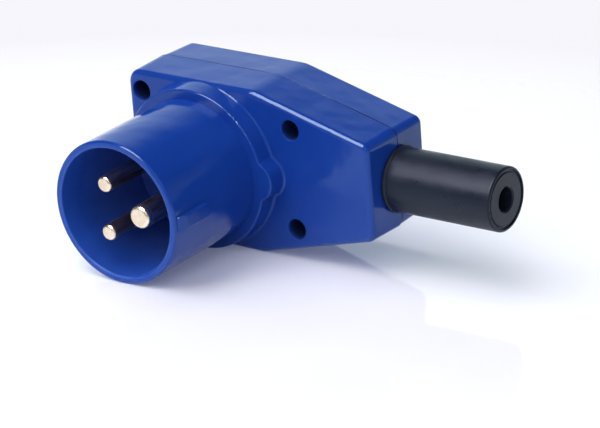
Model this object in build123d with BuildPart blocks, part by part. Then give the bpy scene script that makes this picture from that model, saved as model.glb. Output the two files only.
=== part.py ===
from build123d import *
import math
import os

os.makedirs("parts", exist_ok=True)

# Right-angle three-contact plug, lying on its side.
# Origin: centre of the shroud's mouth, on the shroud's axis.
# -Y is the direction the plug goes in, +X is the way the cable leaves,
# +Z is up as the plug lies on a table.  All lengths in millimetres.

# ------------------------------------------------------------------ sizes
# contact shroud
SHROUD_R = 22.0            # outer radius
SHROUD_BORE_R = 19.8       # inner radius
RIM_ROUND_OUT = 0.8
RIM_ROUND_IN = 0.45

# polarising key on the shroud, on the earth side
KEY_FRONT_Y = 0.9
KEY_REAR_Y = 15.6
KEY_WIDTH = 4.2
KEY_TOP_X = 23.3
KEY_TAPER = 9.0
KEY_EDGE_R = 0.6
KEY_RAMP_DROP = 0.9        # lead-in at the key's front end
KEY_RAMP_LENGTH = 3.4

# collar behind the shroud, with the retaining lug
COLLAR_Y = 37.7
COLLAR_R = 25.0
COLLAR_TAPER = 3.1
LUG_X = 22.1
LUG_R = 6.2
COLLAR_FOOT_R = 0.8        # fillet where the collar meets the case

# case
FACE_Y = 43.74             # front face
PARTING_Y = 58.4           # where the two halves meet
BACK_Y = 72.4
LEFT_X = -27.75            # sizes at the parting plane
RIGHT_X = 59.7
HALF_Z = 26.0
KNEE_X = 18.75
END_HALF_Z = 15.05
FRONT_DRAFT = 1.5         # degrees
REAR_DRAFT = 1.8
LEFT_CORNER_R = 4.6
RIGHT_CORNER_R = 3.2
KNEE_R = 14.0
FACE_EDGE_R = 1.65
BACK_EDGE_R = 1.2
WALL = 2.8                 # at the parting plane
FACE_WALL = 2.4
SEAM_ROUND = 0.3           # rear edge of the front half
SEAM_STEP = 0.25           # the cover starts this far in from it

# case screws, entered from the front face
CASE_SCREWS = [(32.0, 15.55), (32.0, -15.55), (-22.4, 19.4), (-22.4, -19.4)]
HEAD_BORE_R = 3.1
HEAD_SEAT_Y = 53.5
PILLAR_R = 4.0
SHANK_HOLE_R = 1.9
SHANK_R = 1.75
PILOT_R = 1.8

# cable sleeve
CABLE_Y = 58.6             # cable axis, z = 0
SLEEVE_R = 9.65
SLEEVE_RIM_R = 10.05       # low rim against the case
SLEEVE_END_X = 96.4
SLEEVE_NECK_R = 8.2
SLEEVE_FLANGE_R = 10.0
SLEEVE_BORE_R = 3.62
END_HOLE_R = 8.25

# contacts
PIN_CIRCLE_R = 8.7
PIN_R = 2.5
EARTH_R = 3.5
SHANK_STEP = 0.3           # the pins are this much thicker in the carrier's floor
PIN_TIP_Y = 1.2
EARTH_TIP_Y = 0.05
PIN_TIP_ROUND = 0.9
EARTH_TIP_ROUND = 1.1
TERMINAL_R = 4.15
EARTH_TERMINAL_R = 4.65
TERMINAL_END_Y = 52.5
WIRE_HOLE_R = 1.9
WIRE_HOLE_Y = 48.0

# contact carrier
FLOOR_Y = 36.0
FLOOR_BACK_Y = 39.2
CARRIER_R = 19.7
SKIRT_R = 17.6
FLANGE_Y = FACE_Y + FACE_WALL
FLANGE_BACK_Y = 48.2
EAR_CIRCLE_R = 21.9
TOWER_END_Y = 51.0

# cord clamp
CLAMP_X = 47.0
CLAMP_SCREW_Z = 10.5
CLAMP_SEAT_Y = 56.0

S60 = math.sin(math.radians(60))
LINE_XZ = (-PIN_CIRCLE_R / 2, PIN_CIRCLE_R * S60)
NEUTRAL_XZ = (-PIN_CIRCLE_R / 2, -PIN_CIRCLE_R * S60)
EARTH_XZ = (PIN_CIRCLE_R, 0.0)
EARS = [(-EAR_CIRCLE_R, 0.0),
        (EAR_CIRCLE_R / 2, EAR_CIRCLE_R * S60),
        (EAR_CIRCLE_R / 2, -EAR_CIRCLE_R * S60)]


def facing_front(y):
    """Plane at height y along the mating axis: local x = X, local y = Z,
    positive extrusion runs towards the mouth (-Y)."""
    return Plane.XZ.offset(-y)


# ------------------------------------------------------- the case's outline
with BuildSketch() as outline:
    Polygon((LEFT_X, -HALF_Z), (KNEE_X, -HALF_Z), (RIGHT_X, -END_HALF_Z),
            (RIGHT_X, END_HALF_Z), (KNEE_X, HALF_Z), (LEFT_X, HALF_Z), align=None)
    fillet(outline.vertices().group_by(Axis.X)[0], LEFT_CORNER_R)
    fillet(outline.vertices().group_by(Axis.X)[-1], RIGHT_CORNER_R)
    fillet(outline.vertices().filter_by_position(Axis.X, KNEE_X - 0.1, KNEE_X + 0.1), KNEE_R)

with BuildSketch() as cover_outline:
    add(outline.sketch_local)
    offset(amount=-SEAM_STEP, mode=Mode.REPLACE)

with BuildSketch() as inner_outline:
    add(outline.sketch_local)
    offset(amount=-WALL, mode=Mode.REPLACE)

with BuildSketch() as groove_ring:
    add(outline.sketch_local)
    offset(amount=-0.9, mode=Mode.REPLACE)
with BuildSketch() as groove_inner:
    add(outline.sketch_local)
    offset(amount=-1.9, mode=Mode.REPLACE)
with BuildSketch() as tongue_ring:
    add(outline.sketch_local)
    offset(amount=-1.0, mode=Mode.REPLACE)
with BuildSketch() as tongue_inner:
    add(outline.sketch_local)
    offset(amount=-1.8, mode=Mode.REPLACE)

# ------------------------------------------------------------- front shell
# One moulding: front half of the case, collar, lug, shroud and key.
with BuildPart() as front_shell:
    # front half of the case, drafted towards the face
    with BuildSketch(facing_front(PARTING_Y)):
        add(outline.sketch_local)
    extrude(amount=PARTING_Y - FACE_Y, taper=FRONT_DRAFT)
    fillet(front_shell.faces().sort_by(Axis.Y)[-1].edges(), SEAM_ROUND)
    fillet(front_shell.faces().sort_by(Axis.Y)[0].edges(), FACE_EDGE_R)

    # hollow of the case
    with BuildSketch(facing_front(PARTING_Y)):
        add(inner_outline.sketch_local)
    extrude(amount=PARTING_Y - FLANGE_Y, mode=Mode.SUBTRACT)

    # collar with the retaining lug
    with BuildSketch(facing_front(COLLAR_Y)) as collar_sketch:
        Circle(COLLAR_R)
        with Locations((LUG_X, 0)):
            Circle(LUG_R)
        fillet(collar_sketch.vertices(), 1.6)
    extrude(amount=-(45.0 - COLLAR_Y), taper=-COLLAR_TAPER)
    fillet(front_shell.faces().sort_by(Axis.Y)[0].edges(), 0.55)

    # fillet round the foot of the collar, over the face and the edge of the case
    foot = front_shell.edges().filter_by(GeomType.LINE, reverse=True).filter_by(
        lambda e: FACE_Y - 0.05 < e.center().Y < FACE_Y + 1.0
        and 18 < math.hypot(e.center().X, e.center().Z) < 29)
    fillet(foot, COLLAR_FOOT_R)

    # shroud, and the bore that runs through to the case
    with BuildSketch(facing_front(COLLAR_Y + 1.0)):
        Circle(SHROUD_R)
    extrude(amount=COLLAR_Y + 1.0)
    with BuildSketch(facing_front(FLANGE_Y + 0.5)):
        Circle(SHROUD_BORE_R)
    extrude(amount=FLANGE_Y + 2.0, mode=Mode.SUBTRACT)
    rim = front_shell.faces().sort_by(Axis.Y)[0]
    fillet(rim.outer_wire().edges(), RIM_ROUND_OUT)
    rim = front_shell.faces().sort_by(Axis.Y)[0]
    fillet(rim.inner_wires()[0].edges(), RIM_ROUND_IN)

    # key: a low rib with a rounded rear end and a sloping lead-in in front
    with BuildSketch(Plane.YZ.offset(21.2)) as key_sketch:
        with Locations(((KEY_FRONT_Y + KEY_REAR_Y) / 2, 0)):
            Rectangle(KEY_REAR_Y - KEY_FRONT_Y, KEY_WIDTH + 0.9)
        fillet(key_sketch.vertices().group_by(Axis.X)[-1], 2.1)
        fillet(key_sketch.vertices().group_by(Axis.X)[0], 1.1)
    extrude(amount=KEY_TOP_X - 21.2, taper=KEY_TAPER)
    fillet(front_shell.faces().filter_by(Plane.YZ).filter_by_position(
        Axis.X, KEY_TOP_X - 0.02, KEY_TOP_X + 0.02).edges(), KEY_EDGE_R)
    with BuildSketch(Plane.XY.offset(-4.0)):
        with BuildLine():
            Polyline((KEY_TOP_X - KEY_RAMP_DROP, KEY_FRONT_Y),
                     (KEY_TOP_X, KEY_FRONT_Y + KEY_RAMP_LENGTH),
                     (KEY_TOP_X + 0.4, KEY_FRONT_Y + KEY_RAMP_LENGTH),
                     (KEY_TOP_X + 0.4, KEY_FRONT_Y - 0.4),
                     (KEY_TOP_X - KEY_RAMP_DROP, KEY_FRONT_Y - 0.4),
                     (KEY_TOP_X - KEY_RAMP_DROP, KEY_FRONT_Y))
        make_face()
    extrude(amount=8.0, mode=Mode.SUBTRACT)

    # pillars for the four case screws
    with BuildSketch(facing_front(PARTING_Y)):
        with Locations(*CASE_SCREWS):
            Circle(PILLAR_R)
    extrude(amount=PARTING_Y - 45.2)
    # pillars and fixed saddle of the cord clamp
    with BuildSketch(facing_front(CLAMP_SEAT_Y)):
        with Locations((CLAMP_X, CLAMP_SCREW_Z), (CLAMP_X, -CLAMP_SCREW_Z)):
            Circle(3.6)
    extrude(amount=CLAMP_SEAT_Y - 45.6)
    with BuildSketch(facing_front(55.4)):
        with Locations((CLAMP_X, 0)):
            Rectangle(3.0, 18.0)
    extrude(amount=55.4 - 45.6)
    with BuildSketch(Plane.YZ.offset(CLAMP_X - 3)):
        with Locations((CABLE_Y, 0)):
            Circle(3.9)
    extrude(amount=6.0, mode=Mode.SUBTRACT)

    # groove that takes the rear cover's tongue
    with BuildSketch(facing_front(PARTING_Y)):
        add(groove_ring.sketch_local)
        add(groove_inner.sketch_local, mode=Mode.SUBTRACT)
    extrude(amount=1.0, mode=Mode.SUBTRACT)

    # holes: case screws
    with BuildSketch(facing_front(HEAD_SEAT_Y)):
        with Locations(*CASE_SCREWS):
            Circle(HEAD_BORE_R)
    extrude(amount=HEAD_SEAT_Y - FACE_Y + 1, mode=Mode.SUBTRACT)
    with BuildSketch(facing_front(PARTING_Y + 1)):
        with Locations(*CASE_SCREWS):
            Circle(SHANK_HOLE_R)
    extrude(amount=PARTING_Y + 1 - HEAD_SEAT_Y + 0.5, mode=Mode.SUBTRACT)
    # the four mouths on the face are slightly rounded
    mouths = front_shell.edges().filter_by(GeomType.CIRCLE).filter_by_position(
        Axis.Y, FACE_Y - 0.01, FACE_Y + 0.01).filter_by(
        lambda e: abs(e.radius - HEAD_BORE_R) < 1e-3)
    fillet(mouths, 0.3)
    # clamp screws
    with BuildSketch(facing_front(CLAMP_SEAT_Y)):
        with Locations((CLAMP_X, CLAMP_SCREW_Z), (CLAMP_X, -CLAMP_SCREW_Z)):
            Circle(1.6)
    extrude(amount=8.0, mode=Mode.SUBTRACT)
    # carrier screws, in the solid ring of the collar
    with BuildSketch(facing_front(FLANGE_Y)):
        with Locations(*EARS):
            Circle(1.3)
    extrude(amount=6.6, mode=Mode.SUBTRACT)
    # half of the cable opening
    with BuildSketch(Plane.YZ.offset(RIGHT_X - 5)):
        with Locations((CABLE_Y, 0)):
            Circle(END_HOLE_R)
    extrude(amount=8.0, mode=Mode.SUBTRACT)

# -------------------------------------------------------------- rear cover
with BuildPart() as rear_cover:
    with BuildSketch(Plane((0, PARTING_Y, 0), x_dir=(1, 0, 0), z_dir=(0, 1, 0))):
        add(cover_outline.sketch_local)
    extrude(amount=BACK_Y - PARTING_Y, taper=REAR_DRAFT)
    fillet(rear_cover.faces().sort_by(Axis.Y)[-1].edges(), BACK_EDGE_R)
    with BuildSketch(facing_front(PARTING_Y)):
        add(inner_outline.sketch_local)
    extrude(amount=-(BACK_Y - 2.4 - PARTING_Y), mode=Mode.SUBTRACT)
    # tongue
    with BuildSketch(facing_front(PARTING_Y)):
        add(tongue_ring.sketch_local)
        add(tongue_inner.sketch_local, mode=Mode.SUBTRACT)
    extrude(amount=0.85)
    # bosses that take the case screws
    with BuildSketch(facing_front(PARTING_Y)):
        with Locations(*CASE_SCREWS):
            Circle(PILLAR_R)
    extrude(amount=-(BACK_Y - 1.9 - PARTING_Y))
    with BuildSketch(facing_front(PARTING_Y - 1)):
        with Locations(*CASE_SCREWS):
            Circle(PILOT_R)
    extrude(amount=-(68.8 - PARTING_Y + 1), mode=Mode.SUBTRACT)
    # other half of the cable opening
    with BuildSketch(Plane.YZ.offset(RIGHT_X - 5)):
        with Locations((CABLE_Y, 0)):
            Circle(END_HOLE_R)
    extrude(amount=8.0, mode=Mode.SUBTRACT)

# ---------------------------------------------------------- contact carrier
with BuildPart() as contact_carrier:
    with BuildSketch(facing_front(FLANGE_Y)):
        Circle(CARRIER_R)
    extrude(amount=FLANGE_Y - FLOOR_Y)
    with BuildSketch(facing_front(FLANGE_BACK_Y)):
        Circle(EAR_CIRCLE_R)
        with Locations(*EARS):
            Circle(2.5)
    extrude(amount=FLANGE_BACK_Y - FLANGE_Y)
    with BuildSketch(facing_front(FLANGE_BACK_Y)):
        Circle(SKIRT_R)
    extrude(amount=FLANGE_BACK_Y - FLOOR_BACK_Y, mode=Mode.SUBTRACT)
    # sockets that hold the contacts' terminals
    with BuildSketch(facing_front(TOWER_END_Y)):
        with Locations(LINE_XZ, NEUTRAL_XZ):
            Circle(TERMINAL_R + 1.75)
        with Locations(EARTH_XZ):
            Circle(EARTH_TERMINAL_R + 1.75)
    extrude(amount=TOWER_END_Y - FLOOR_BACK_Y + 0.5)
    with BuildSketch(facing_front(TOWER_END_Y + 1)):
        with Locations(LINE_XZ, NEUTRAL_XZ):
            Circle(TERMINAL_R + 0.05)
        with Locations(EARTH_XZ):
            Circle(EARTH_TERMINAL_R + 0.05)
    extrude(amount=TOWER_END_Y + 1 - FLOOR_BACK_Y, mode=Mode.SUBTRACT)
    # wire slots on the cable side of each socket
    with BuildSketch(facing_front(TOWER_END_Y + 1)):
        for cx, cz in (LINE_XZ, NEUTRAL_XZ, EARTH_XZ):
            with Locations((cx + 4.5, cz)):
                Rectangle(9.0, 4.6)
    extrude(amount=TOWER_END_Y + 1 - 45.8, mode=Mode.SUBTRACT)
    # pin holes in the floor
    with BuildSketch(facing_front(FLOOR_BACK_Y + 0.5)):
        with Locations(LINE_XZ, NEUTRAL_XZ):
            Circle(PIN_R + SHANK_STEP + 0.05)
        with Locations(EARTH_XZ):
            Circle(EARTH_R + SHANK_STEP + 0.05)
    extrude(amount=5.0, mode=Mode.SUBTRACT)
    # screw holes in the ears
    with BuildSketch(facing_front(FLANGE_BACK_Y + 0.5)):
        with Locations(*EARS):
            Circle(1.35)
    extrude(amount=4.0, mode=Mode.SUBTRACT)

# ------------------------------------------------------------ contact pins
with BuildPart() as line_pin:
    with BuildSketch(Plane.XY.offset(LINE_XZ[1])) as line_profile:
        with Locations((LINE_XZ[0] + PIN_R / 2, (PIN_TIP_Y + FLOOR_Y) / 2)):
            Rectangle(PIN_R, FLOOR_Y - PIN_TIP_Y)
        fillet(line_profile.vertices().group_by(Axis.Y)[0].sort_by(Axis.X)[-1], PIN_TIP_ROUND)
        with Locations((LINE_XZ[0] + (PIN_R + SHANK_STEP) / 2, (FLOOR_Y + FLOOR_BACK_Y) / 2)):
            Rectangle(PIN_R + SHANK_STEP, FLOOR_BACK_Y - FLOOR_Y)
        with Locations((LINE_XZ[0] + TERMINAL_R / 2, (FLOOR_BACK_Y + TERMINAL_END_Y) / 2)):
            Rectangle(TERMINAL_R, TERMINAL_END_Y - FLOOR_BACK_Y)
    revolve(axis=Axis((LINE_XZ[0], 0, LINE_XZ[1]), (0, 1, 0)))
    with BuildSketch(Plane.YZ.offset(LINE_XZ[0] - 2)):
        with Locations((WIRE_HOLE_Y, LINE_XZ[1])):
            Circle(WIRE_HOLE_R)
    extrude(amount=8.0, mode=Mode.SUBTRACT)
    with BuildSketch(facing_front(TERMINAL_END_Y)):
        with Locations(LINE_XZ):
            Circle(1.75)
    extrude(amount=TERMINAL_END_Y - WIRE_HOLE_Y, mode=Mode.SUBTRACT)

with BuildPart() as neutral_pin:
    with BuildSketch(Plane.XY.offset(NEUTRAL_XZ[1])) as neutral_profile:
        with Locations((NEUTRAL_XZ[0] + PIN_R / 2, (PIN_TIP_Y + FLOOR_Y) / 2)):
            Rectangle(PIN_R, FLOOR_Y - PIN_TIP_Y)
        fillet(neutral_profile.vertices().group_by(Axis.Y)[0].sort_by(Axis.X)[-1], PIN_TIP_ROUND)
        with Locations((NEUTRAL_XZ[0] + (PIN_R + SHANK_STEP) / 2, (FLOOR_Y + FLOOR_BACK_Y) / 2)):
            Rectangle(PIN_R + SHANK_STEP, FLOOR_BACK_Y - FLOOR_Y)
        with Locations((NEUTRAL_XZ[0] + TERMINAL_R / 2, (FLOOR_BACK_Y + TERMINAL_END_Y) / 2)):
            Rectangle(TERMINAL_R, TERMINAL_END_Y - FLOOR_BACK_Y)
    revolve(axis=Axis((NEUTRAL_XZ[0], 0, NEUTRAL_XZ[1]), (0, 1, 0)))
    with BuildSketch(Plane.YZ.offset(NEUTRAL_XZ[0] - 2)):
        with Locations((WIRE_HOLE_Y, NEUTRAL_XZ[1])):
            Circle(WIRE_HOLE_R)
    extrude(amount=8.0, mode=Mode.SUBTRACT)
    with BuildSketch(facing_front(TERMINAL_END_Y)):
        with Locations(NEUTRAL_XZ):
            Circle(1.75)
    extrude(amount=TERMINAL_END_Y - WIRE_HOLE_Y, mode=Mode.SUBTRACT)

with BuildPart() as earth_pin:
    with BuildSketch(Plane.XY) as earth_profile:
        with Locations((EARTH_XZ[0] + EARTH_R / 2, (EARTH_TIP_Y + FLOOR_Y) / 2)):
            Rectangle(EARTH_R, FLOOR_Y - EARTH_TIP_Y)
        fillet(earth_profile.vertices().group_by(Axis.Y)[0].sort_by(Axis.X)[-1], EARTH_TIP_ROUND)
        with Locations((EARTH_XZ[0] + (EARTH_R + SHANK_STEP) / 2, (FLOOR_Y + FLOOR_BACK_Y) / 2)):
            Rectangle(EARTH_R + SHANK_STEP, FLOOR_BACK_Y - FLOOR_Y)
        with Locations((EARTH_XZ[0] + EARTH_TERMINAL_R / 2, (FLOOR_BACK_Y + TERMINAL_END_Y) / 2)):
            Rectangle(EARTH_TERMINAL_R, TERMINAL_END_Y - FLOOR_BACK_Y)
    revolve(axis=Axis((EARTH_XZ[0], 0, EARTH_XZ[1]), (0, 1, 0)))
    with BuildSketch(Plane.YZ.offset(EARTH_XZ[0] - 2)):
        with Locations((WIRE_HOLE_Y, 0)):
            Circle(WIRE_HOLE_R)
    extrude(amount=8.0, mode=Mode.SUBTRACT)
    with BuildSketch(facing_front(TERMINAL_END_Y)):
        with Locations(EARTH_XZ):
            Circle(1.75)
    extrude(amount=TERMINAL_END_Y - WIRE_HOLE_Y, mode=Mode.SUBTRACT)

# --------------------------------------------------------- terminal screws
with BuildPart() as terminal_screws:
    with BuildSketch(facing_front(TERMINAL_END_Y + 1.8)):
        with Locations(LINE_XZ, NEUTRAL_XZ, EARTH_XZ):
            Circle(2.7)
    extrude(amount=1.8)
    with BuildSketch(facing_front(TERMINAL_END_Y)):
        with Locations(LINE_XZ, NEUTRAL_XZ, EARTH_XZ):
            Circle(1.7)
    extrude(amount=TERMINAL_END_Y - 47.4)
    with BuildSketch(facing_front(TERMINAL_END_Y + 1.9)):
        with Locations(LINE_XZ, NEUTRAL_XZ, EARTH_XZ):
            Rectangle(6.0, 0.8)
    extrude(amount=1.0, mode=Mode.SUBTRACT)

# ---------------------------------------------------------- carrier screws
with BuildPart() as carrier_screws:
    with BuildSketch(facing_front(FLANGE_BACK_Y + 1.3)):
        with Locations(*EARS):
            Circle(2.1)
    extrude(amount=1.3)
    with BuildSketch(facing_front(FLANGE_BACK_Y)):
        with Locations(*EARS):
            Circle(1.25)
    extrude(amount=FLANGE_BACK_Y - 40.2)
    with BuildSketch(facing_front(FLANGE_BACK_Y + 1.4)):
        with Locations(*EARS):
            Rectangle(2.6, 0.6)
            Rectangle(0.6, 2.6)
    extrude(amount=0.8, mode=Mode.SUBTRACT)

# -------------------------------------------------------------- cord clamp
with BuildPart() as cord_clamp:
    with BuildSketch(Plane.YZ.offset(CLAMP_X - 3.5)):
        with Locations((CABLE_Y, 0)):
            Circle(6.4)
        with Locations((CLAMP_SEAT_Y + 1.4, 0)):
            Rectangle(2.8, 28.4)
        with Locations((CABLE_Y, 0)):
            Circle(3.9, mode=Mode.SUBTRACT)
        with Locations((CLAMP_SEAT_Y - 5, 0)):
            Rectangle(10.0, 30.0, mode=Mode.SUBTRACT)
    extrude(amount=7.0)
    with BuildSketch(facing_front(CLAMP_SEAT_Y + 4)):
        with Locations((CLAMP_X, CLAMP_SCREW_Z), (CLAMP_X, -CLAMP_SCREW_Z)):
            Circle(1.75)
    extrude(amount=6.0, mode=Mode.SUBTRACT)

with BuildPart() as cord_clamp_screws:
    with BuildSketch(facing_front(CLAMP_SEAT_Y + 2.8 + 2.1)):
        with Locations((CLAMP_X, CLAMP_SCREW_Z), (CLAMP_X, -CLAMP_SCREW_Z)):
            Circle(2.95)
    extrude(amount=2.1)
    with BuildSketch(facing_front(CLAMP_SEAT_Y + 2.8)):
        with Locations((CLAMP_X, CLAMP_SCREW_Z), (CLAMP_X, -CLAMP_SCREW_Z)):
            Circle(1.55)
    extrude(amount=CLAMP_SEAT_Y + 2.8 - 49.0)
    with BuildSketch(facing_front(CLAMP_SEAT_Y + 5.0)):
        with Locations((CLAMP_X, CLAMP_SCREW_Z), (CLAMP_X, -CLAMP_SCREW_Z)):
            Rectangle(3.6, 0.8)
            Rectangle(0.8, 3.6)
    extrude(amount=1.4, mode=Mode.SUBTRACT)

# ------------------------------------------------------------ cable sleeve
with BuildPart() as cable_sleeve:
    with BuildSketch(Plane.XY):
        with BuildLine():
            Polyline(
                (54.4, CABLE_Y + SLEEVE_BORE_R + 0.9),
                (54.4, CABLE_Y + SLEEVE_FLANGE_R - 0.4),
                (54.8, CABLE_Y + SLEEVE_FLANGE_R),
                (RIGHT_X - WALL, CABLE_Y + SLEEVE_FLANGE_R),
                (RIGHT_X - WALL, CABLE_Y + SLEEVE_NECK_R),
                (RIGHT_X + 0.05, CABLE_Y + SLEEVE_NECK_R),
                (RIGHT_X + 0.05, CABLE_Y + SLEEVE_RIM_R - 0.4),
                (RIGHT_X + 0.15, CABLE_Y + SLEEVE_RIM_R - 0.12),
                (RIGHT_X + 0.4, CABLE_Y + SLEEVE_RIM_R),
                (RIGHT_X + 1.0, CABLE_Y + SLEEVE_RIM_R),
                (RIGHT_X + 1.25, CABLE_Y + SLEEVE_RIM_R - 0.12),
                (RIGHT_X + 1.4, CABLE_Y + SLEEVE_R),
                (SLEEVE_END_X - 0.7, CABLE_Y + SLEEVE_R))
            ThreePointArc(
                (SLEEVE_END_X - 0.7, CABLE_Y + SLEEVE_R),
                (SLEEVE_END_X - 0.2, CABLE_Y + SLEEVE_R - 0.2),
                (SLEEVE_END_X, CABLE_Y + SLEEVE_R - 0.7))
            Polyline(
                (SLEEVE_END_X, CABLE_Y + SLEEVE_R - 0.7),
                (SLEEVE_END_X, CABLE_Y + 8.8),
                (SLEEVE_END_X - 0.5, CABLE_Y + 8.65),
                (SLEEVE_END_X - 0.5, CABLE_Y + 8.1),
                (SLEEVE_END_X - 0.15, CABLE_Y + 7.85),
                (SLEEVE_END_X - 0.1, CABLE_Y + 4.1),
                (SLEEVE_END_X - 0.5, CABLE_Y + SLEEVE_BORE_R),
                (55.3, CABLE_Y + SLEEVE_BORE_R),
                (54.4, CABLE_Y + SLEEVE_BORE_R + 0.9))
        make_face()
    revolve(axis=Axis((0, CABLE_Y, 0), (1, 0, 0)))

# ------------------------------------------------------------- case screws
with BuildPart() as case_screws:
    with BuildSketch(facing_front(HEAD_SEAT_Y)):
        with Locations(*CASE_SCREWS):
            Circle(2.85)
    extrude(amount=2.4)
    fillet(case_screws.faces().filter_by(Plane.XZ).group_by(Axis.Y)[0].edges(), 0.5)
    with BuildSketch(facing_front(66.5)):
        with Locations(*CASE_SCREWS):
            Circle(SHANK_R)
    extrude(amount=66.5 - HEAD_SEAT_Y + 0.2)
    with BuildSketch(facing_front(HEAD_SEAT_Y - 1.0)):
        with Locations(*CASE_SCREWS):
            Rectangle(3.4, 0.8)
            Rectangle(0.8, 3.4)
    extrude(amount=2.0, mode=Mode.SUBTRACT)

# ------------------------------------------------------------------ export
front_shell.part.label = "front_shell"
export_step(front_shell.part, "parts/front_shell.step")
rear_cover.part.label = "rear_cover"
export_step(rear_cover.part, "parts/rear_cover.step")
contact_carrier.part.label = "contact_carrier"
export_step(contact_carrier.part, "parts/contact_carrier.step")
line_pin.part.label = "line_pin"
export_step(line_pin.part, "parts/line_pin.step")
neutral_pin.part.label = "neutral_pin"
export_step(neutral_pin.part, "parts/neutral_pin.step")
earth_pin.part.label = "earth_pin"
export_step(earth_pin.part, "parts/earth_pin.step")
terminal_screws.part.label = "terminal_screws"
export_step(terminal_screws.part, "parts/terminal_screws.step")
carrier_screws.part.label = "carrier_screws"
export_step(carrier_screws.part, "parts/carrier_screws.step")
cord_clamp.part.label = "cord_clamp"
export_step(cord_clamp.part, "parts/cord_clamp.step")
cord_clamp_screws.part.label = "cord_clamp_screws"
export_step(cord_clamp_screws.part, "parts/cord_clamp_screws.step")
cable_sleeve.part.label = "cable_sleeve"
export_step(cable_sleeve.part, "parts/cable_sleeve.step")
case_screws.part.label = "case_screws"
export_step(case_screws.part, "parts/case_screws.step")
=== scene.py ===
import bpy
import bmesh
import math
import numpy as np
from mathutils import Matrix, Vector

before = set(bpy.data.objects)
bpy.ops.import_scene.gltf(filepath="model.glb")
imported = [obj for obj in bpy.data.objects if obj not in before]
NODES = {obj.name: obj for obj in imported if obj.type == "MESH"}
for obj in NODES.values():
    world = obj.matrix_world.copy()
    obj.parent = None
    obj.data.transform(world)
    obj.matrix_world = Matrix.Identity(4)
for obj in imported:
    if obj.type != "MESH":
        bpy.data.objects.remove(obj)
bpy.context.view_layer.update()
scene = bpy.context.scene


# ---------------------------------------------------------------- camera
# A long lens that looks slightly down on the plug as it lies on the table.
def place_camera():
    az, el, roll = math.radians(37.279), math.radians(22.098), math.radians(-4.227)
    target = Vector((0.066839, 0.0, 0.011932))
    distance = 0.937863
    back = Vector((math.sin(az) * math.cos(el), -math.cos(az) * math.cos(el), math.sin(el)))
    right = Vector((math.cos(az), math.sin(az), 0.0))
    up = back.cross(right)
    r = math.cos(roll) * right + math.sin(roll) * up
    u = -math.sin(roll) * right + math.cos(roll) * up
    data = bpy.data.cameras.new("camera")
    data.sensor_width = 36.0
    data.sensor_fit = "HORIZONTAL"
    data.lens = 3400.0 / 600.0 * 36.0
    data.clip_start = 0.05
    data.clip_end = 20.0
    cam = bpy.data.objects.new("camera", data)
    scene.collection.objects.link(cam)
    m = Matrix.Identity(4)
    for i, axis in enumerate((r, u, back)):
        for k in range(3):
            m[k][i] = axis[k]
    m.translation = target + back * distance
    cam.matrix_world = m
    scene.camera = cam


place_camera()


# ------------------------------------------------------------ node helper
class Tree:
    """A short way to write a material's nodes."""

    def __init__(self, name):
        self.mat = bpy.data.materials.new(name)
        self.mat.use_nodes = True
        self.t = self.mat.node_tree
        self.t.nodes.clear()
        self.out = self.t.nodes.new("ShaderNodeOutputMaterial")
        self.bsdf = self.t.nodes.new("ShaderNodeBsdfPrincipled")
        self.t.links.new(self.bsdf.outputs[0], self.out.inputs["Surface"])
        self.coord = self.t.nodes.new("ShaderNodeTexCoord")

    def node(self, kind, **values):
        n = self.t.nodes.new(kind)
        for key, value in values.items():
            setattr(n, key, value)
        return n

    def link(self, a, b):
        self.t.links.new(a, b)

    def mapped(self, scale, rotation=(0, 0, 0), location=(0, 0, 0)):
        m = self.node("ShaderNodeMapping")
        m.inputs["Scale"].default_value = scale
        m.inputs["Rotation"].default_value = rotation
        m.inputs["Location"].default_value = location
        self.link(self.coord.outputs["Object"], m.inputs["Vector"])
        return m.outputs["Vector"]

    def noise(self, scale, detail=3.0, rough=0.5, vector=None, distortion=0.0):
        n = self.node("ShaderNodeTexNoise")
        n.inputs["Scale"].default_value = scale
        n.inputs["Detail"].default_value = detail
        n.inputs["Roughness"].default_value = rough
        n.inputs["Distortion"].default_value = distortion
        self.link(vector or self.coord.outputs["Object"], n.inputs["Vector"])
        return n.outputs["Fac"]

    def ramp(self, fac, stops):
        r = self.node("ShaderNodeValToRGB")
        e = r.color_ramp.elements
        while len(e) < len(stops):
            e.new(0.5)
        for el, (pos, col) in zip(e, stops):
            el.position = pos
            el.color = (*col, 1) if len(col) == 3 else col
        self.link(fac, r.inputs["Fac"])
        return r.outputs["Color"]

    def span(self, fac, low, high, a=0.0, b=1.0):
        m = self.node("ShaderNodeMapRange")
        m.inputs["From Min"].default_value = a
        m.inputs["From Max"].default_value = b
        m.inputs["To Min"].default_value = low
        m.inputs["To Max"].default_value = high
        self.link(fac, m.inputs["Value"])
        return m.outputs["Result"]

    def mix(self, fac, a, b):
        m = self.node("ShaderNodeMix", data_type="RGBA")
        for value, socket in ((fac, m.inputs[0]), (a, m.inputs[6]), (b, m.inputs[7])):
            if isinstance(value, bpy.types.NodeSocket):
                self.link(value, socket)
            else:
                socket.default_value = value
        return m.outputs[2]

    def math(self, op, a, b=None):
        m = self.node("ShaderNodeMath", operation=op)
        for value, socket in ((a, m.inputs[0]), (b, m.inputs[1])):
            if value is None:
                continue
            if isinstance(value, bpy.types.NodeSocket):
                self.link(value, socket)
            else:
                socket.default_value = value
        return m.outputs[0]

    def bump(self, height, distance, strength=1.0, normal=None):
        b = self.node("ShaderNodeBump")
        b.inputs["Strength"].default_value = strength
        b.inputs["Distance"].default_value = distance
        self.link(height, b.inputs["Height"])
        if normal is not None:
            self.link(normal, b.inputs["Normal"])
        return b.outputs["Normal"]

    def set(self, **values):
        for key, value in values.items():
            socket = self.bsdf.inputs[key.replace("_", " ")]
            if isinstance(value, bpy.types.NodeSocket):
                self.link(value, socket)
            else:
                socket.default_value = value


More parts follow.
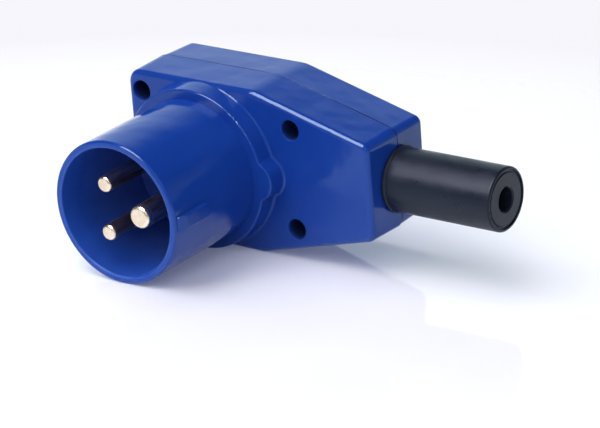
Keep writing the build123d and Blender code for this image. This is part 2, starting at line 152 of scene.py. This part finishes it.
# -------------------------------------------------------------- materials
def blue_plastic(name, deep, light, rough_low, rough_high, ripple, peel, bore=None, seam=None, wells=()):
    """Glossy moulded plastic: pigment streaks, slow sink marks, fine orange
    peel, rubbed patches and hair scratches in the gloss.  A bore gives the
    radius (about the part's Y axis) and depth inside which it is matt and
    has painted light: a brighter blue and a pale painted sheen.  A seam gives
    the Y at which the two halves of the case meet, where a thin line of
    painted shade is drawn, and wells the X and Z of the screw holes, one of
    each pair, which are painted dark inside as painted shade."""
    t = Tree(name)
    flow = t.noise(34.0, 4.0, 0.55, t.mapped((1.0, 1.0, 0.45)), distortion=0.6)
    speck = t.noise(1900.0, 2.0, 0.5)
    colour = t.mix(t.span(flow, 0.0, 1.0, 0.30, 0.70), deep, light)
    colour = t.mix(t.span(speck, 0.0, 0.10, 0.35, 0.75), colour, (*[min(1.0, c * 1.3) for c in light[:3]], 1.0))
    rub = t.noise(55.0, 5.0, 0.6)
    scratch = t.noise(1.0, 3.0, 0.55, t.mapped((2600.0, 130.0, 130.0), (0.3, 0.5, 0.9)))
    scratch2 = t.noise(1.0, 3.0, 0.55, t.mapped((150.0, 2900.0, 150.0), (0.8, 0.2, -0.4)))
    hair = t.math("MAXIMUM", t.span(scratch, 0.0, 1.0, 0.66, 0.74), t.span(scratch2, 0.0, 1.0, 0.67, 0.75))
    rough = t.span(rub, rough_low, rough_high, 0.3, 0.7)
    rough = t.math("ADD", rough, t.math("MULTIPLY", hair, 0.05))
    sep = t.node("ShaderNodeSeparateXYZ")
    t.link(t.coord.outputs["Object"], sep.inputs[0])
    dull = None
    if bore is not None:
        radius, depth = bore
        r = t.math("SQRT", t.math("ADD", t.math("MULTIPLY", sep.outputs["X"], sep.outputs["X"]),
                                  t.math("MULTIPLY", sep.outputs["Z"], sep.outputs["Z"])))
        inside = t.math("MULTIPLY", t.span(r, 1.0, 0.0, radius - 0.0002, radius + 0.0003),
                        t.span(sep.outputs["Y"], 1.0, 0.0, depth - 0.001, depth))
        dust_and_sheen = t.noise(260.0, 4.0, 0.6)
        rough = t.math("ADD", rough, t.math("MULTIPLY", inside, t.span(dust_and_sheen, 0.22, 0.34, 0.3, 0.7)))
        # painted light: the bore's walls are coloured a brighter blue than the case
        colour = t.mix(t.math("MULTIPLY", inside, 0.70), colour, (0.0080, 0.058, 0.370, 1))
        # painted sheen: a pale grey wash on the bore's walls, stronger deeper in, standing in for their
        # reflections
        bore_painted_sheen = t.math("MULTIPLY", inside, t.span(dust_and_sheen, 0.035, 0.070, 0.3, 0.7))
        bore_painted_sheen = t.math("MULTIPLY", bore_painted_sheen, t.span(sep.outputs["Y"], 0.15, 1.0, 0.008, 0.026))
        colour = t.mix(bore_painted_sheen, colour, (0.50, 0.64, 0.80, 1))
    if wells:
        # the screw wells are rougher and duller inside, and painted near-black deep inside as painted shade
        up = t.math("ABSOLUTE", sep.outputs["Z"])
        near = None
        for cx, cz in wells:
            dx = t.math("SUBTRACT", sep.outputs["X"], cx)
            dz = t.math("SUBTRACT", up, cz)
            d = t.math("SQRT", t.math("ADD", t.math("MULTIPLY", dx, dx), t.math("MULTIPLY", dz, dz)))
            near = d if near is None else t.math("MINIMUM", near, d)
        inner = t.math("MULTIPLY", t.span(near, 1.0, 0.0, 0.0033, 0.0035),
                       t.span(sep.outputs["Y"], 1.0, 0.0, 0.0655, 0.0670))
        well_painted_shade = t.math("MULTIPLY", inner, t.span(sep.outputs["Y"], 0.0, 1.0, 0.0440, 0.0456))
        colour = t.mix(t.math("MULTIPLY", well_painted_shade, 0.86), colour, (0.006, 0.010, 0.034, 1))
        rough = t.math("ADD", rough, t.math("MULTIPLY", inner, 0.35))
        dull = t.math("MULTIPLY", inner, 0.8)
    n = t.bump(t.noise(120.0, 1.5, 0.45), ripple)
    if seam is not None:
        # a hair-wide groove, wider in some stretches, duller there and painted dark as painted shade in the gap
        off = t.math("ABSOLUTE", t.math("SUBTRACT", sep.outputs["Y"], seam))
        wide = t.span(t.noise(48.0, 2.0, 0.5), 0.00032, 0.00062, 0.36, 0.58)
        line = t.math("SUBTRACT", 1.0, t.math("DIVIDE", off, wide))
        line = t.span(line, 0.0, 1.0, 0.0, 0.45)
        colour = t.mix(t.math("MULTIPLY", line, 0.85), colour, (0.002, 0.008, 0.060, 1))
        dull = line if dull is None else t.math("MAXIMUM", line, dull)
        n = t.bump(line, -0.00015, 1.0, n)
    n = t.bump(t.noise(640.0, 2.0, 0.5), peel, 1.0, n)
    n = t.bump(hair, -0.0000010, 1.0, n)
    if dull is not None:
        t.set(Specular_IOR_Level=t.span(dull, 0.5, 0.05))
    t.set(Base_Color=colour, Roughness=rough, Normal=n, IOR=1.43, Specular_Tint=(0.64, 0.98, 1.0, 1.0))
    return t.mat


def black_rubber():
    """Satin moulded rubber: soft grain, faint bloom, slight waves."""
    t = Tree("black_rubber_look")
    bloom = t.noise(70.0, 5.0, 0.6, t.mapped((0.35, 1.0, 1.0)))
    colour = t.mix(t.span(bloom, 0.0, 1.0, 0.32, 0.72), (0.006, 0.008, 0.017, 1), (0.010, 0.013, 0.026, 1))
    rough = t.span(t.noise(220.0, 5.0, 0.65), 0.26, 0.40, 0.3, 0.7)
    smear = t.noise(190.0, 3.0, 0.5, t.mapped((0.6, 1.0, 1.0)), distortion=0.2)
    rough = t.math("ADD", rough, t.span(smear, -0.05, 0.07, 0.32, 0.68))
    n = t.bump(t.noise(70.0, 2.0, 0.5, t.mapped((0.5, 1.0, 1.0))), 0.00012)
    n = t.bump(t.noise(900.0, 3.0, 0.6), 0.000030, 1.0, n)
    t.set(Base_Color=colour, Roughness=rough, Normal=n, IOR=1.46, Specular_IOR_Level=0.32,
          Specular_Tint=(0.72, 0.94, 1.0, 1.0))
    return t.mat


def brass(name, centre):
    """Turned brass: rings from the lathe on the ends and along the shaft, a
    slightly uneven tone, a little smoother on the ends."""
    t = Tree(name)
    shifted = t.mapped((1, 1, 1), location=(-centre[0], 0.0, -centre[1]))
    sep = t.node("ShaderNodeSeparateXYZ")
    t.link(shifted, sep.inputs[0])
    radius = t.math("SQRT", t.math("ADD", t.math("MULTIPLY", sep.outputs["X"], sep.outputs["X"]),
                                   t.math("MULTIPLY", sep.outputs["Z"], sep.outputs["Z"])))
    rings = t.math("SINE", t.math("MULTIPLY", radius, 2 * math.pi / 0.00045))
    lathe = t.math("SINE", t.math("MULTIPLY", sep.outputs["Y"], 2 * math.pi / 0.0005))
    tone = t.noise(420.0, 4.0, 0.6)
    # along the shaft the brass is painted dark brown, in streaks and paler in places: painted shade for the shaft
    # inside the shroud
    streak = t.noise(1.0, 4.0, 0.6, t.mapped((700.0, 55.0, 700.0)))
    side = t.mix(t.span(streak, 0.0, 1.0, 0.36, 0.62), (0.26, 0.17, 0.10, 1), (0.56, 0.48, 0.44, 1))
    tip = t.mix(t.span(tone, 0.0, 1.0, 0.3, 0.7), (0.72, 0.60, 0.42, 1), (0.89, 0.79, 0.62, 1))
    colour = t.mix(t.span(sep.outputs["Y"], 0.0, 1.0, 0.0016, 0.0030), tip, side)
    rough = t.span(t.noise(260.0, 2.0, 0.5), 0.34, 0.40, 0.3, 0.7)
    rough = t.math("SUBTRACT", rough, t.span(sep.outputs["Y"], 0.12, 0.06, 0.0016, 0.0030))
    n = t.bump(t.math("ADD", rings, lathe), 0.0000003)
    t.set(Base_Color=colour, Metallic=1.0, Roughness=rough, Normal=n)
    return t.mat


def steel():
    t = Tree("screw_steel_look")
    tone = t.noise(900.0, 4.0, 0.6)
    colour = t.mix(t.span(tone, 0.0, 1.0, 0.3, 0.7), (0.42, 0.42, 0.42, 1), (0.58, 0.57, 0.54, 1))
    rough = t.span(t.noise(2200.0, 3.0, 0.6), 0.24, 0.42, 0.3, 0.7)
    n = t.bump(t.noise(3000.0, 2.0, 0.5), 0.00001)
    t.set(Base_Color=colour, Metallic=1.0, Roughness=rough, Normal=n)
    return t.mat


def clamp_plastic():
    t = Tree("clamp_plastic_look")
    tone = t.noise(300.0, 4.0, 0.6)
    colour = t.mix(t.span(tone, 0.0, 1.0, 0.3, 0.7), (0.030, 0.030, 0.033, 1), (0.050, 0.050, 0.055, 1))
    rough = t.span(t.noise(1200.0, 3.0, 0.6), 0.45, 0.62, 0.3, 0.7)
    n = t.bump(t.noise(1600.0, 3.0, 0.6), 0.00003)
    t.set(Base_Color=colour, Roughness=rough, Normal=n)
    return t.mat


CASE = blue_plastic("case_blue_look", (0.0052, 0.0352, 0.249, 1), (0.0074, 0.0418, 0.282, 1),
                    0.10, 0.16, 0.00034, 0.0000025, bore=(0.0203, 0.0463), seam=0.05858,
                    wells=((0.0320, 0.01555), (-0.0224, 0.0194)))
CARRIER = blue_plastic("carrier_blue_look", (0.0056, 0.0335, 0.235, 1), (0.0078, 0.0400, 0.268, 1),
                       0.22, 0.30, 0.00005, 0.000005, bore=(0.0203, 0.0463))
RUBBER = black_rubber()
STEEL = steel()
CLAMP = clamp_plastic()
LOOKS = {
    "front_shell": CASE, "rear_cover": CASE, "contact_carrier": CARRIER,
    "line_pin": brass("line_brass_look", (-0.00435, 0.007534)),
    "neutral_pin": brass("neutral_brass_look", (-0.00435, -0.007534)),
    "earth_pin": brass("earth_brass_look", (0.0087, 0.0)),
    "terminal_screws": STEEL, "carrier_screws": STEEL, "cord_clamp_screws": STEEL,
    "case_screws": STEEL, "cord_clamp": CLAMP, "cable_sleeve": RUBBER,
}
for node, look in LOOKS.items():
    for s in NODES[node].material_slots:
        s.material = look


# ------------------------------------------------------------------ floor
# The plug rests on its rim and on the front edge of the case, so the table
# stands a few degrees off the part's own XY plane.
def lay_floor():
    slope = 0.0825
    n = Vector((0.0, slope, 1.0)).normalized()
    low = 1e9
    for name in ("front_shell", "rear_cover", "cable_sleeve"):
        for v in NODES[name].data.vertices:
            low = min(low, n.dot(v.co))
    tilt = Matrix.Rotation(-math.atan(slope), 4, "X")
    bm = bmesh.new()
    size, steps = 1.7, 1
    bmesh.ops.create_grid(bm, x_segments=steps, y_segments=steps, size=size)
    me = bpy.data.meshes.new("floor")
    bm.to_mesh(me)
    bm.free()
    floor = bpy.data.objects.new("floor", me)
    scene.collection.objects.link(floor)
    floor.matrix_world = Matrix.Translation(n * (low - 0.00002)) @ tilt
    t = Tree("floor_look")
    sheen = t.noise(9.0, 3.0, 0.5)
    colour = t.mix(t.span(sheen, 0.0, 1.0, 0.3, 0.7), (0.865, 0.86, 0.895, 1), (0.88, 0.875, 0.91, 1))
    # painted light: the table glows faintly bluish, which lifts the shadows on it and tints them blue
    t.set(Base_Color=colour, Roughness=0.04, IOR=1.38,
          Emission_Color=(0.78, 0.86, 1.22, 1), Emission_Strength=t.span(sheen, 0.10, 0.14, 0.3, 0.7))
    # the table fades into the backdrop well away from the plug
    sep = t.node("ShaderNodeSeparateXYZ")
    t.link(t.coord.outputs["Object"], sep.inputs[0])
    dx = t.math("SUBTRACT", sep.outputs["X"], 0.03)
    dy = t.math("SUBTRACT", sep.outputs["Y"], -0.02)
    far = t.math("SQRT", t.math("ADD", t.math("MULTIPLY", dx, dx), t.math("MULTIPLY", dy, dy)))
    # a one-sided sheet: from below the table it is not in the way
    side = t.node("ShaderNodeNewGeometry")
    above = t.math("SUBTRACT", 1.0, side.outputs["Backfacing"])
    t.set(Alpha=t.math("MULTIPLY", above, t.span(far, 1.0, 0.0, 0.17, 0.31)))
    floor.data.materials.append(t.mat)
    return floor


lay_floor()


# ------------------------------------------------------------------ light
def light_world():
    """Surroundings by direction: a white backdrop behind the plug on the
    left, a dim room, a fill on the right in front, and a pale table."""
    world = bpy.data.worlds.new("studio")
    scene.world = world
    world.use_nodes = True
    t = world.node_tree
    t.nodes.clear()
    out = t.nodes.new("ShaderNodeOutputWorld")
    coord = t.nodes.new("ShaderNodeTexCoord")
    sep = t.nodes.new("ShaderNodeSeparateXYZ")
    t.links.new(coord.outputs["Generated"], sep.inputs[0])
    height = sep.outputs["Z"]

    def span(value, a, b, low, high):
        m = t.nodes.new("ShaderNodeMapRange")
        m.interpolation_type = "SMOOTHSTEP"
        m.inputs["From Min"].default_value = a
        m.inputs["From Max"].default_value = b
        m.inputs["To Min"].default_value = low
        m.inputs["To Max"].default_value = high
        t.links.new(value, m.inputs["Value"])
        return m.outputs["Result"]

    def towards(direction):
        n = t.nodes.new("ShaderNodeVectorMath")
        n.operation = "DOT_PRODUCT"
        t.links.new(coord.outputs["Generated"], n.inputs[0])
        n.inputs[1].default_value = Vector(direction).normalized()
        return n.outputs["Value"]

    def math2(op, a, b):
        m = t.nodes.new("ShaderNodeMath")
        m.operation = op
        for value, socket in ((a, m.inputs[0]), (b, m.inputs[1])):
            if isinstance(value, bpy.types.NodeSocket):
                t.links.new(value, socket)
            else:
                socket.default_value = value
        return m.outputs[0]

    backdrop = span(towards((-0.60, 0.79, 0.12)), 0.68, 0.97, 0.0, 0.86)
    room = span(height, 0.22, 0.45, 0.30, 0.03)
    fill = span(towards((0.50, -0.68, 0.55)), 0.94, 0.985, 0.0, 1.5)
    is_up = span(height, -0.03, 0.03, 0.0, 1.0)
    below = math2("MULTIPLY", math2("SUBTRACT", 1.0, is_up), 1.12)
    above = math2("MULTIPLY", math2("ADD", math2("MULTIPLY", room, math2("SUBTRACT", 1.0, backdrop)), fill), is_up)
    plain = t.nodes.new("ShaderNodeBackground")
    plain.inputs["Color"].default_value = (0.985, 0.985, 1.0, 1)
    t.links.new(math2("ADD", above, below), plain.inputs["Strength"])
    cool = t.nodes.new("ShaderNodeBackground")
    cool.inputs["Color"].default_value = (0.82, 1.0, 1.04, 1)
    t.links.new(math2("MULTIPLY", backdrop, is_up), cool.inputs["Strength"])
    lit = t.nodes.new("ShaderNodeAddShader")
    t.links.new(plain.outputs[0], lit.inputs[0])
    t.links.new(cool.outputs[0], lit.inputs[1])
    seen = t.nodes.new("ShaderNodeBackground")
    seen.inputs["Color"].default_value = (0.925, 0.918, 0.968, 1)
    path = t.nodes.new("ShaderNodeLightPath")
    mix = t.nodes.new("ShaderNodeMixShader")
    t.links.new(path.outputs["Is Camera Ray"], mix.inputs[0])
    t.links.new(lit.outputs[0], mix.inputs[1])
    t.links.new(seen.outputs[0], mix.inputs[2])
    t.links.new(mix.outputs[0], out.inputs["Surface"])


def softbox(name, direction, distance, size, radiance, aim=(0.035, 0.035, 0.0), colour=(1, 1, 1), shape=None):
    data = bpy.data.lights.new(name, "AREA")
    data.shape = "RECTANGLE"
    data.size, data.size_y = size
    data.energy = radiance * math.pi * size[0] * size[1]
    data.color = colour
    ob = bpy.data.objects.new(name, data)
    d = Vector(direction).normalized()
    ob.location = Vector(aim) + d * distance
    ob.rotation_mode = "QUATERNION"
    ob.rotation_quaternion = (-d).to_track_quat("-Z", "Y")
    scene.collection.objects.link(ob)
    return ob


def snoot(name, direction, distance, half_angle, power, aim):
    """A narrow soft beam that reaches down into the shroud."""
    data = bpy.data.lights.new(name, "SPOT")
    data.energy = power
    data.spot_size = math.radians(2 * half_angle)
    data.spot_blend = 0.7
    data.shadow_soft_size = 0.018
    ob = bpy.data.objects.new(name, data)
    d = Vector(direction).normalized()
    ob.location = Vector(aim) + d * distance
    ob.rotation_mode = "QUATERNION"
    ob.rotation_quaternion = (-d).to_track_quat("-Z", "Y")
    ob.visible_glossy = False
    scene.collection.objects.link(ob)
    return ob


light_world()
# the key gives the gloss its highlights, the wide diffusers give the soft shade
key = softbox("key_softbox", (-0.16, -0.52, 0.84), 1.0, (0.55, 0.95), 13.5, colour=(1.08, 0.88, 0.95))
key.visible_diffuse = False
left = softbox("top_left_diffuser", (-0.42, -0.15, 0.89), 1.1, (1.3, 1.3), 2.9, colour=(0.985, 0.98, 1.03))
left.visible_glossy = False
front = softbox("front_diffuser", (-0.16, -0.52, 0.84), 1.0, (0.55, 0.69), 4.2)
front.visible_glossy = False
right = softbox("right_diffuser", (0.40, -0.50, 0.77), 1.0, (0.8, 0.8), 1.9)
right.visible_glossy = False
snoot("mouth_snoot", (-0.35, -0.80, 0.49), 0.6, 2.1, 6.5, (0.006, 0.008, -0.013))
scene.view_settings.view_transform = "Standard"
